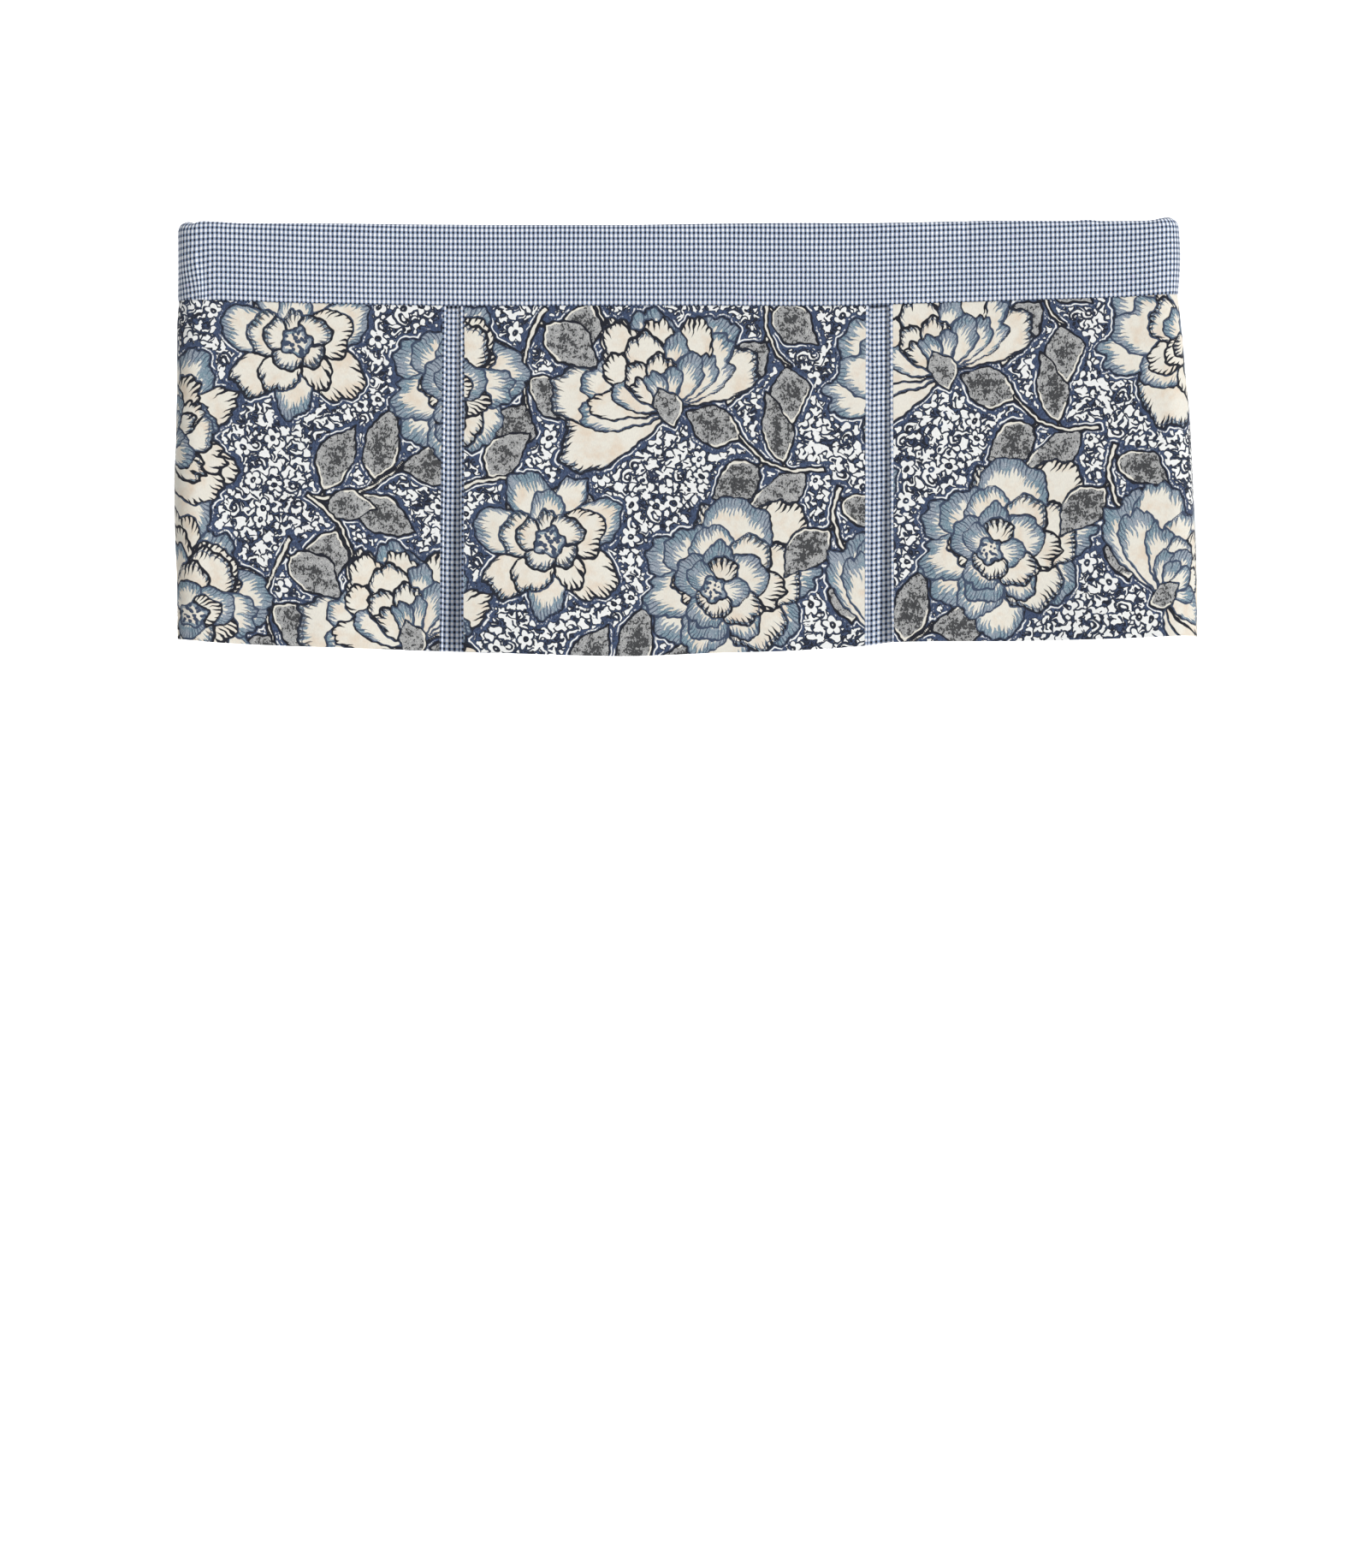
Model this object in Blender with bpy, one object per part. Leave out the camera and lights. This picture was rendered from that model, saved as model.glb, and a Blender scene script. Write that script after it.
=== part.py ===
"""Flat-faced valance of two cloths: a checked header sleeve, three flowered panels and two
checked pleat inserts. Metres, +Z up, +X to the right seen from the front, front towards -Y.
The origin is the middle of the top fold, half way through the depth of the rod pocket."""

import math
from collections import namedtuple

import bmesh
import bpy

# ---- driving dimensions, in metres
FACE_HALF = 0.5856          # middle to either end of the header's face
SHEET = 0.002               # one layer of cloth
GAP = 0.0003                # between two pieces that are sewn edge to edge
POCKET_HALF = 0.012         # middle of the rod pocket to the face of the header
CORNER = 0.028              # radius of the header's face where it turns into a return
RETURN_RUN = 0.035          # straight part of a return, from the corner to its open end
RETURN_END = CORNER - POCKET_HALF + RETURN_RUN          # y of the open ends
PANEL_SET_BACK = 0.0008     # header's face to the panels' face
PLEAT_STRIP = 0.0040        # checked strip that shows beside each panel, before the fold
PLEAT_TUCK = 0.038          # how far a pleat runs behind the panel beside it
PLEAT_PITCH_TOP = 0.0026    # layer to layer where the seam holds the pleat
PLEAT_GROWTH = 1.5          # how late down the drop a pleat opens
FOLD_REACH = 0.0030         # most that a pleat's fold stands out sideways
CORNER_LOOSE = 0.003        # how much rounder a panel's corner is at the hem

# ---- mesh spans
FRONT_SPANS = 20            # along the header's face
CORNER_SPANS = 7            # round a corner
RETURN_SPANS = 3            # along a return
TOP_FOLD_SPANS = 8          # over the header's top fold
OUTER_PANEL_SPANS = 12      # along the face of an outer panel
CENTRE_PANEL_SPANS = 18
PANEL_DROP_SPANS = 12       # from seam to hem on a panel
INSERT_DROP_SPANS = 10
FOLD_SPANS = 5              # round one fold of a pleat
TUCK_SPANS = 3              # along each layer of a pleat behind its panel

# ---- the valance as it hangs: heights of the top fold, of the header's seam and of the hem
Line = namedtuple("Line", "x top seam hem")
LINES = [
    Line(-0.5856, 0.0015, -0.0890, -0.4845),
    Line(-0.5450, 0.0025, -0.0896, -0.4890),
    Line(-0.4450, 0.0005, -0.0928, -0.4940),
    Line(-0.2760, -0.0010, -0.0960, -0.4995),
    Line(-0.0670, -0.0015, -0.0960, -0.5055),
    Line(0.0420, 0.0000, -0.0960, -0.5018),
    Line(0.1270, 0.0008, -0.0964, -0.4995),
    Line(0.2180, 0.0008, -0.0958, -0.4932),
    Line(0.2520, 0.0012, -0.0945, -0.4888),
    Line(0.3880, 0.0035, -0.0902, -0.4880),
    Line(0.5000, 0.0045, -0.0867, -0.4855),
    Line(0.5856, 0.0055, -0.0815, -0.4815),
]

# how far the outer panels stand out past FACE_HALF at a share of their drop, and how far
# their returns splay from square
Edge = namedtuple("Edge", "drop left right left_splay right_splay")
EDGES = [
    Edge(0.00, -0.0006, 0.0000, 0.0, 0.0),
    Edge(0.08, 0.0028, 0.0048, 2.2, 2.0),
    Edge(0.22, 0.0044, 0.0114, 5.0, 4.5),
    Edge(0.38, 0.0058, 0.0170, 6.0, 7.0),
    Edge(0.54, 0.0082, 0.0203, 6.0, 9.0),
    Edge(0.70, 0.0070, 0.0222, 5.0, 10.5),
    Edge(0.84, 0.0044, 0.0242, 3.5, 11.5),
    Edge(1.00, 0.0016, 0.0248, 2.0, 12.0),
]

# soft upright waves in the hanging cloth: where, how wide, and how far forward at the hem
Wave = namedtuple("Wave", "x width forward")
WAVES = [
    Wave(-0.505, 0.045, -0.0030),
    Wave(-0.405, 0.050, 0.0035),
    Wave(-0.325, 0.032, -0.0020),
    Wave(-0.160, 0.060, 0.0030),
    Wave(-0.030, 0.050, -0.0030),
    Wave(0.110, 0.055, 0.0040),
    Wave(0.310, 0.035, 0.0030),
    Wave(0.400, 0.050, -0.0030),
    Wave(0.500, 0.050, 0.0035),
]
WAVE_GROWTH = 1.4           # how late down the drop the waves grow

# the two openings between panels: their sides at the seam and at the hem, and the distance
# from layer to layer at the hem, where the pleat hangs open
Pleat = namedtuple("Pleat", "name left_top left_hem right_top right_hem hem_pitch")
PLEATS = [
    Pleat("pleat_insert_left", -0.2745, -0.2784, -0.2490, -0.2500, 0.0100),
    Pleat("pleat_insert_right", 0.2191, 0.2176, 0.2506, 0.2521, 0.0076),
]

# section of the header sleeve: outer face and pocket face, each as distance out towards the
# front and rise above the seam line or the top line
SleeveRow = namedtuple("SleeveRow", "line face_out face_rise pocket_out pocket_rise")
SLEEVE_FRONT = [
    SleeveRow("seam", 0.0112, 0.0000, 0.0093, 0.0050),
    SleeveRow("seam", 0.0114, 0.0090, 0.0095, 0.0095),
    SleeveRow("seam", 0.0117, 0.0200, 0.0098, 0.0203),
    SleeveRow("seam", 0.0120, 0.0340, 0.0100, 0.0340),
    SleeveRow("top", 0.0120, -0.0360, 0.0100, -0.0360),
]
SLEEVE_BACK = [
    SleeveRow("top", -0.0120, -0.0360, -0.0100, -0.0360),
    SleeveRow("seam", -0.0116, 0.0260, -0.0097, 0.0268),
    SleeveRow("seam", -0.0080, 0.0165, -0.0062, 0.0178),
    SleeveRow("seam", -0.0015, 0.0085, 0.0001, 0.0098),
    SleeveRow("seam", 0.0025, 0.0042, 0.0040, 0.0058),
    SleeveRow("seam", 0.0046, 0.0000, 0.0075, 0.0048),
]
SEAM_OUT = POCKET_HALF - PANEL_SET_BACK - SHEET / 2     # where the panels hang from the seam

# ---- colours of the two cloths
CHECK_COLOUR = (0.38, 0.42, 0.52)
FLOWERED_COLOUR = (0.34, 0.37, 0.40)


def smooth_read(rows, key, value, column):
    """Read a column of a table at a value of its key column, on a smooth curve."""
    keys = [getattr(row, key) for row in rows]
    heights = [getattr(row, column) for row in rows]
    value = min(max(value, keys[0]), keys[-1])
    last = len(rows) - 1
    i = max(k for k in range(last) if keys[k] <= value)

    def slope(k):
        before, after = max(k - 1, 0), min(k + 1, last)
        return (heights[after] - heights[before]) / (keys[after] - keys[before])

    span = keys[i + 1] - keys[i]
    s = (value - keys[i]) / span
    start, end = heights[i], heights[i + 1]
    return (start * (1 + 2 * s) * (1 - s) ** 2 + end * s * s * (3 - 2 * s)
            + span * (slope(i) * s * (1 - s) ** 2 - slope(i + 1) * s * s * (1 - s)))


def line(x, name):
    return smooth_read(LINES, "x", x, name)


def edge(drop, name):
    return smooth_read(EDGES, "drop", drop, name)


def wave(x, drop):
    """Forward bulge of the hanging cloth, nothing at the seam and most at the hem."""
    total = sum(row.forward * math.exp(-((x - row.x) / row.width) ** 2) for row in WAVES)
    return total * drop ** WAVE_GROWTH


def mix(start, end, share):
    return start + (end - start) * share


def front_depth(x, drop):
    """y of the middle of the cloth that hangs in front."""
    return -SEAM_OUT - wave(x, drop)


def height(x, drop):
    """z of a point of the hanging cloth, a little under the seam at the top."""
    return mix(line(x, "seam") - GAP, line(x, "hem"), drop)


def add_object(name, mesh, colour, roughness):
    material = bpy.data.materials.new(name + "_cloth")
    material.use_nodes = True
    shader = material.node_tree.nodes["Principled BSDF"]
    shader.inputs["Base Color"].default_value = (*colour, 1)
    shader.inputs["Roughness"].default_value = roughness
    shader.inputs["Metallic"].default_value = 0
    material.diffuse_color = (*colour, 1)
    mesh.materials.append(material)
    mesh.shade_smooth()
    mesh.set_sharp_from_angle(angle=math.radians(40))
    body = bpy.data.objects.new(name, mesh)
    bpy.context.scene.collection.objects.link(body)
    return body


def grid_mesh(name, rows):
    """A mesh of quads between rows of points that all have the same length."""
    bm = bmesh.new()
    lines = [[bm.verts.new(point) for point in row] for row in rows]
    for near, far in zip(lines, lines[1:]):
        for k in range(len(near) - 1):
            bm.faces.new((near[k], near[k + 1], far[k + 1], far[k]))
    bmesh.ops.recalc_face_normals(bm, faces=bm.faces)
    mesh = bpy.data.meshes.new(name)
    bm.to_mesh(mesh)
    bm.free()
    return mesh


def hanging_sheet(name, rows, colour, roughness):
    """Cloth of even thickness on the middle surface that the rows give."""
    body = add_object(name, grid_mesh(name, rows), colour, roughness)
    thick = body.modifiers.new("thickness", "SOLIDIFY")
    thick.thickness = SHEET
    thick.offset = 0
    thick.use_even_offset = True
    return body


def spread(start, end, spans):
    """Evenly spaced values from start to end, both included."""
    return [mix(start, end, k / spans) for k in range(spans + 1)]


# ---- header: one sleeve along the face, round both corners and back along the returns

def sleeve_section():
    fold = POCKET_HALF
    inner = POCKET_HALF - SHEET
    rows = list(SLEEVE_FRONT)
    for k in range(TOP_FOLD_SPANS + 1):
        angle = math.pi * k / TOP_FOLD_SPANS
        rows.append(SleeveRow("top", fold * math.cos(angle), fold * math.sin(angle) - fold,
                              inner * math.cos(angle), inner * math.sin(angle) - fold))
    return rows + SLEEVE_BACK


def sleeve_path():
    """Points in plan on the middle of the pocket, each with its direction to the front."""
    bend = CORNER - POCKET_HALF
    centre_x = FACE_HALF - CORNER
    centre_y = bend
    right = [(x, 0.0, 0.0, -1.0) for x in spread(0.0, centre_x, FRONT_SPANS // 2)]
    for angle in spread(0.0, math.pi / 2, CORNER_SPANS)[1:]:
        away = (math.sin(angle), -math.cos(angle))
        right.append((centre_x + bend * away[0], centre_y + bend * away[1], *away))
    for y in spread(centre_y, centre_y + RETURN_RUN, RETURN_SPANS)[1:]:
        right.append((FACE_HALF - POCKET_HALF, y, 1.0, 0.0))
    left = [(-x, y, -out_x, out_y) for x, y, out_x, out_y in reversed(right[1:])]
    return left + right


def make_header():
    section = sleeve_section()
    bm = bmesh.new()
    rings = []
    for x, y, out_x, out_y in sleeve_path():
        face, pocket = [], []
        for row in section:
            base = line(x + out_x * SEAM_OUT, row.line)
            face.append(bm.verts.new((x + out_x * row.face_out, y + out_y * row.face_out,
                                      base + row.face_rise)))
            pocket.append(bm.verts.new((x + out_x * row.pocket_out, y + out_y * row.pocket_out,
                                        base + row.pocket_rise)))
        rings.append((face, pocket))
    count = len(section)
    for near, far in zip(rings, rings[1:]):
        for side in (0, 1):
            for k in range(count):
                n = (k + 1) % count
                bm.faces.new((near[side][k], near[side][n], far[side][n], far[side][k]))
    for face, pocket in (rings[0], rings[-1]):
        for k in range(count):
            n = (k + 1) % count
            bm.faces.new((face[k], face[n], pocket[n], pocket[k]))
    bmesh.ops.recalc_face_normals(bm, faces=bm.faces)
    mesh = bpy.data.meshes.new("header_band")
    bm.to_mesh(mesh)
    bm.free()
    add_object("header_band", mesh, CHECK_COLOUR, 0.85)


# ---- panels

def outer_panel_path(side, inner_edge, drop):
    """Plan points of an outer panel, from the pleat round the corner to its open end."""
    name = "right" if side > 0 else "left"

    def reach(at_drop):
        return FACE_HALF - SHEET / 2 + edge(at_drop, name)

    def corner_radius(at_drop):
        return CORNER - PANEL_SET_BACK - SHEET / 2 + CORNER_LOOSE * at_drop

    first_radius = corner_radius(0)
    cloth_width = (reach(0) - side * inner_edge(0) + RETURN_RUN
                   + first_radius * (math.pi / 2 - 1))
    radius = corner_radius(drop)
    turn = math.radians(90 - edge(drop, name + "_splay"))
    across = reach(drop) - side * inner_edge(drop)
    run = ((cloth_width - across + radius * (math.sin(turn) - turn))
           / (1 - math.cos(turn)))
    deepest = RETURN_END + SEAM_OUT - radius * (1 - math.cos(turn))
    run = min(run, deepest / math.sin(turn))
    corner_x = reach(drop) - radius * math.sin(turn) - run * math.cos(turn)
    points = []
    for x in spread(side * inner_edge(drop), corner_x, OUTER_PANEL_SPANS):
        points.append((side * x, front_depth(side * x, drop)))
    front_y = front_depth(side * corner_x, drop)
    for angle in spread(0.0, turn, CORNER_SPANS)[1:]:
        points.append((side * (corner_x + radius * math.sin(angle)),
                       front_y + radius * (1 - math.cos(angle))))
    start_x, start_y = points[-1]
    for length in spread(0.0, run, RETURN_SPANS)[1:]:
        points.append((start_x + side * length * math.cos(turn),
                       start_y + length * math.sin(turn)))
    return points


def make_outer_panel(name, side, pleat):
    def inner_edge(drop):
        if side > 0:
            return mix(pleat.right_top, pleat.right_hem, drop) + GAP / 2
        return mix(pleat.left_top, pleat.left_hem, drop) - GAP / 2

    rows = []
    for drop in spread(0.0, 1.0, PANEL_DROP_SPANS):
        rows.append([(x, y, height(x, drop)) for x, y in outer_panel_path(side, inner_edge, drop)])
    hanging_sheet(name, rows, FLOWERED_COLOUR, 0.8)


def make_centre_panel():
    left, right = PLEATS
    rows = []
    for drop in spread(0.0, 1.0, PANEL_DROP_SPANS):
        start = mix(left.right_top, left.right_hem, drop) + GAP / 2
        end = mix(right.left_top, right.left_hem, drop) - GAP / 2
        rows.append([(x, front_depth(x, drop), height(x, drop))
                     for x in spread(start, end, CENTRE_PANEL_SPANS)])
    hanging_sheet("panel_centre", rows, FLOWERED_COLOUR, 0.8)


# ---- pleat inserts: a box pleat turned inside out, strip, fold, tuck, fold, back, and again

def insert_path(pleat, drop):
    """Plan points of an insert, each as x and how far it lies behind the front cloth."""
    start = mix(pleat.left_top, pleat.left_hem, drop) + GAP / 2
    end = mix(pleat.right_top, pleat.right_hem, drop) - GAP / 2
    pitch = mix(PLEAT_PITCH_TOP, pleat.hem_pitch, drop ** PLEAT_GROWTH)
    bend = pitch / 2
    reach = min(bend, FOLD_REACH)
    middle = (start + end) / 2
    fold_x = start + PLEAT_STRIP - reach
    tuck_x = start - PLEAT_TUCK
    half = [(start, 0.0), (fold_x, 0.0)]
    for angle in spread(0.0, math.pi, FOLD_SPANS)[1:]:
        half.append((fold_x + reach * math.sin(angle), bend * (1 - math.cos(angle))))
    for x in spread(fold_x, tuck_x, TUCK_SPANS)[1:]:
        half.append((x, pitch))
    for angle in spread(0.0, math.pi, FOLD_SPANS)[1:]:
        half.append((tuck_x - reach * math.sin(angle), pitch + bend * (1 - math.cos(angle))))
    for x in spread(tuck_x, middle, TUCK_SPANS)[1:]:
        half.append((x, 2 * pitch))
    other = [(2 * middle - x, behind) for x, behind in reversed(half[:-1])]
    return half + other


def make_insert(pleat):
    rows = []
    for drop in spread(0.0, 1.0, INSERT_DROP_SPANS):
        rows.append([(x, front_depth(x, drop) + behind, height(x, drop))
                     for x, behind in insert_path(pleat, drop)])
    hanging_sheet(pleat.name, rows, CHECK_COLOUR, 0.85)


for old in list(bpy.data.objects):
    bpy.data.objects.remove(old, do_unlink=True)

make_header()
make_outer_panel("panel_left", -1, PLEATS[0])
make_centre_panel()
make_outer_panel("panel_right", 1, PLEATS[1])
for each_pleat in PLEATS:
    make_insert(each_pleat)
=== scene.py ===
"""A flat-faced window valance, sewn from a small woven check and a printed flowered cotton.

Metres, +Z up, +X to the right seen from the front, front towards -Y. The origin is the middle
of the top fold, half way through the depth of the rod pocket.
"""

import math
from collections import namedtuple

import bpy
import numpy as np
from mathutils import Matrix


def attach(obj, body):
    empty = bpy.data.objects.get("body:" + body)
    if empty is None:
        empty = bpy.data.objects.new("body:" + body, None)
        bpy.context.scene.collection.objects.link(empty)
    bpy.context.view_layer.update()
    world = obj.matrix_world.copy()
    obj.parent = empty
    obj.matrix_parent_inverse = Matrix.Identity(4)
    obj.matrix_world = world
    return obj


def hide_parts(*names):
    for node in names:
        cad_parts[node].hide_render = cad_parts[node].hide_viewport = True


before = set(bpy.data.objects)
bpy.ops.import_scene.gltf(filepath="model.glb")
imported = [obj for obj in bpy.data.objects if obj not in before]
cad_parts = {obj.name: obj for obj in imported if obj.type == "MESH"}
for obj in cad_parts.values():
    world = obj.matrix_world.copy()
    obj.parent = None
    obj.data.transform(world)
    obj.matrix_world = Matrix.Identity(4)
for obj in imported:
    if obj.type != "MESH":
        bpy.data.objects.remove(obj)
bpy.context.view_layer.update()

# ---- The header. A strip of woven check goes up the front, over the rod and down the back,
# and both its long edges are sewn to the top of the panels, so it is a flat sleeve. It turns
# back at both ends, where it is open for the rod. It drags at the corners and creases a little.
COTTON = 0.0011             # one layer of either cloth
FACE_HALF = 0.5856          # middle to either end of the header's face
POCKET_HALF = 0.012         # middle of the rod pocket to the face
CORNER = 0.028              # radius of the face where it turns into a return
RETURN_RUN = 0.035          # straight part of a return
SEAM_OUT = 0.0102           # middle of the pocket to the middle of the panels' cloth
HEADER_CELL = 0.0025        # mesh along the header
SECTION_CELLS = 78          # mesh up the front, over and down the back
SHARP_EDGE = 50             # degrees past which an edge of the cloth isn't smoothed
CHECK_ACROSS = 5.2          # one repeat of the check in mm, white and dark stripe together
CHECK_DOWN = 6.5

# heights along the face: the header's top, the seam below it and the hem
Line = namedtuple("Line", "x top seam hem")
LINES = [
    Line(-0.5856, 0.0036, -0.0890, -0.4845),
    Line(-0.5780, 0.0024, -0.0891, -0.4855),
    Line(-0.5707, 0.0003, -0.0892, -0.4865),
    Line(-0.5600, 0.0026, -0.0894, -0.4875),
    Line(-0.5450, 0.0027, -0.0896, -0.4890),
    Line(-0.5100, 0.0006, -0.0905, -0.4912),
    Line(-0.4450, 0.0005, -0.0928, -0.4940),
    Line(-0.2760, -0.0010, -0.0960, -0.4995),
    Line(-0.0670, -0.0015, -0.0960, -0.5055),
    Line(0.0420, 0.0000, -0.0960, -0.5018),
    Line(0.1270, 0.0008, -0.0964, -0.4995),
    Line(0.2180, 0.0008, -0.0958, -0.4932),
    Line(0.2520, 0.0012, -0.0945, -0.4888),
    Line(0.3880, 0.0035, -0.0902, -0.4880),
    Line(0.5000, 0.0030, -0.0867, -0.4855),
    Line(0.5500, 0.0038, -0.0842, -0.4835),
    Line(0.5680, 0.0066, -0.0828, -0.4825),
    Line(0.5856, 0.0090, -0.0815, -0.4815),
]

# the middle of the header's cloth, from the seam up the front and down the back to the seam:
# out from the middle of the pocket, up from the seam or the top, and how much further out it
# lies where no pleat is behind the seam
SleeveRow = namedtuple("SleeveRow", "line out rise snug")
SLEEVE_UP = [
    SleeveRow("seam", 0.0109, -0.0006, 0.0),
    SleeveRow("seam", 0.0113, 0.0008, 0.0),
    SleeveRow("seam", 0.01145, 0.0040, 0.0),
    SleeveRow("seam", 0.01145, 0.0200, 0.0),
    SleeveRow("seam", 0.01145, 0.0420, 0.0),
    SleeveRow("top", 0.01145, -0.0260, 0.0),
]
SLEEVE_DOWN = [
    SleeveRow("top", -0.01145, -0.0360, 0.0),
    SleeveRow("seam", -0.0112, 0.0330, 0.0),
    SleeveRow("seam", -0.0102, 0.0235, 0.0),
    SleeveRow("seam", -0.0068, 0.0165, 0.0),
    SleeveRow("seam", -0.0012, 0.0105, 0.0004),
    SleeveRow("seam", 0.0024, 0.0062, 0.0022),
    SleeveRow("seam", 0.0036, 0.0030, 0.0042),
    SleeveRow("seam", 0.0037, -0.0008, 0.0049),
]
FOLD_STEPS = 10             # rows of the section over the top fold

# the two openings between panels: their sides at the seam and at the hem, and the distance
# from layer to layer of the pleat at the hem
Pleat = namedtuple("Pleat", "name left_top left_hem right_top right_hem hem_pitch")
PLEATS = [
    Pleat("pleat_insert_left", -0.2745, -0.2784, -0.2490, -0.2500, 0.0100),
    Pleat("pleat_insert_right", 0.2191, 0.2176, 0.2506, 0.2521, 0.0076),
]
PLEAT_TUCK = 0.038          # how far a pleat runs behind the panel beside it


def read(rows, key, column, values):
    """A column of a table at values of its key column, on a smooth curve."""
    keys = np.array([getattr(row, key) for row in rows])
    heights = np.array([getattr(row, column) for row in rows])
    order = np.arange(len(rows))
    before, after = np.maximum(order - 1, 0), np.minimum(order + 1, len(rows) - 1)
    slopes = (heights[after] - heights[before]) / (keys[after] - keys[before])
    values = np.clip(values, keys[0], keys[-1])
    i = np.clip(np.searchsorted(keys, values, side="right") - 1, 0, len(rows) - 2)
    span = keys[i + 1] - keys[i]
    s = (values - keys[i]) / span
    return (heights[i] * (1 + 2 * s) * (1 - s) ** 2 + heights[i + 1] * s ** 2 * (3 - 2 * s)
            + span * (slopes[i] * s * (1 - s) ** 2 - slopes[i + 1] * s ** 2 * (1 - s)))


def ease(value, start, end):
    """0 before start, 1 past end, and smooth between."""
    share = np.clip((value - start) / (end - start), 0, 1)
    return share * share * (3 - 2 * share)


def ripples(run, lengths, seed):
    """Uneven small waves along a run, about as high as 1."""
    dice = np.random.default_rng(seed)
    total = 0
    for length in lengths:
        phase, swell = dice.uniform(0, 2 * math.pi, 2)
        total = total + (np.sin(2 * math.pi * run / length + phase)
                         * (0.6 + 0.4 * np.sin(run / length * 0.9 + swell)))
    return total / math.sqrt(len(lengths))


def pleat_bulk(x):
    """1 where a pleat's layers lie behind the seam, and 0 away from them."""
    near = [np.maximum(pleat.left_top - x, x - pleat.right_top) for pleat in PLEATS]
    return 1 - ease(np.minimum(*near), PLEAT_TUCK + 0.003, PLEAT_TUCK + 0.030)


def evenly(points, count):
    """Points at equal steps along a line of points, and how far along it each one lies."""
    steps = np.linalg.norm(np.diff(points, axis=0), axis=1)
    run = np.concatenate(([0], np.cumsum(steps)))
    wanted = np.linspace(0, run[-1], count)
    return np.stack([np.interp(wanted, run, column) for column in points.T], 1), wanted


def facing(points):
    """Unit normals of a grid of points, towards whoever sees it left to right and downwards."""
    normal = np.cross(np.gradient(points, axis=0), np.gradient(points, axis=1))
    return normal / np.linalg.norm(normal, axis=2, keepdims=True)


def add_object(name, data):
    thing = bpy.data.objects.new(name, data)
    bpy.context.scene.collection.objects.link(thing)
    return thing


def closed_sheet(name, middle, cloth, thickness=COTTON, coarse=1, prints=None):
    """A sheet with a fine face, a back with one point for each few of the face, and a rim.

    middle holds rows of points on the middle of the cloth, left to right and downwards seen
    from its face; cloth holds each point's place on the flat cloth; prints holds more values
    at each point, by name. What is thicker than one layer grows to the back.
    """
    rows, cols = middle.shape[:2]
    normal = facing(middle)
    face = middle + normal * COTTON / 2
    depth = np.broadcast_to(thickness, (rows, cols))[..., None]
    back = (face - normal * depth)[::coarse, ::coarse]
    index = np.arange(rows * cols).reshape(rows, cols)
    under = rows * cols + np.arange(back.shape[0] * back.shape[1]).reshape(back.shape[:2])

    def quads(grid):
        return np.stack((grid[:-1, :-1], grid[1:, :-1], grid[1:, 1:], grid[:-1, 1:]), -1)

    faces = quads(index).reshape(-1, 4).tolist() + quads(under)[..., ::-1].reshape(-1, 4).tolist()
    borders = ((index[0], under[0], 1), (index[-1], under[-1], -1),
               (index[:, 0], under[:, 0], -1), (index[:, -1], under[:, -1], 1))
    for front, rear, way in borders:
        for k in range(len(rear) - 1):
            edge = front[k * coarse:(k + 1) * coarse + 1].tolist() + [rear[k + 1], rear[k]]
            faces.append(edge[::way])
    mesh = bpy.data.meshes.new(name)
    mesh.from_pydata(np.concatenate((face.reshape(-1, 3), back.reshape(-1, 3))).tolist(), [],
                     faces)

    def on_both(values):
        size = values.shape[2]
        return np.concatenate((values.reshape(-1, size),
                               values[::coarse, ::coarse].reshape(-1, size)))

    corner = np.empty(len(mesh.loops), dtype=np.int32)
    mesh.loops.foreach_get("vertex_index", corner)
    mesh.uv_layers.new(name="cloth").data.foreach_set("uv", on_both(cloth)[corner].ravel())
    for label, values in (prints or {}).items():
        attribute = mesh.attributes.new(label, "FLOAT_VECTOR", "POINT")
        attribute.data.foreach_set("vector", on_both(values).ravel())
    reverse = mesh.attributes.new("reverse", "FLOAT", "POINT")
    reverse.data.foreach_set("value", (np.arange(len(mesh.vertices)) >= rows * cols) * 1.0)
    mesh.shade_smooth()
    mesh.set_sharp_from_angle(angle=math.radians(SHARP_EDGE))
    return add_object(name, mesh)


def sum_of(operation):
    """A sum on one or two values, as a method that adds its Math node."""
    def add_sum(*values):
        return values[0].node("Math", dict(enumerate(values)), operation=operation)
    return add_sum


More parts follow.
